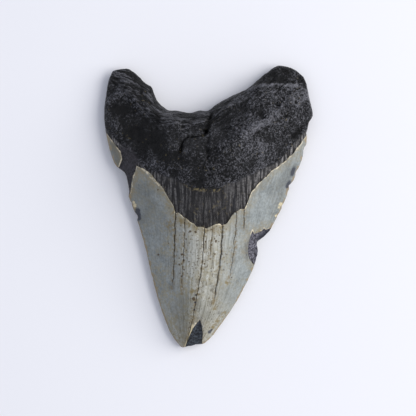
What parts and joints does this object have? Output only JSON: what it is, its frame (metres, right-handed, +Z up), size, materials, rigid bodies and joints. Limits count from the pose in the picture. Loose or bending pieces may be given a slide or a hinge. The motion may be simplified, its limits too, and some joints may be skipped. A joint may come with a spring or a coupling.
{
  "type": "fossil megalodon tooth",
  "caption": "Large triangular fossil shark tooth with a blue-grey enamel crown, a chipped edge and tip, and a black root with a lobe on each side.",
  "frame": {"origin": "under the middle of the tooth's bounding box, on the surface that it lies on", "axes": "+Y from the broken tip towards the root, +X towards the edge with the deep chip, +Z up, out of the bulging inner face"},
  "size_m": [0.0834, 0.113, 0.0262],
  "materials": {
    "fossil_tooth": "blue-grey enamel with a soft polish, rough black root"
  },
  "bodies": {
    "root": {"tooth": "fossil_tooth"}
  },
  "joints": []
}
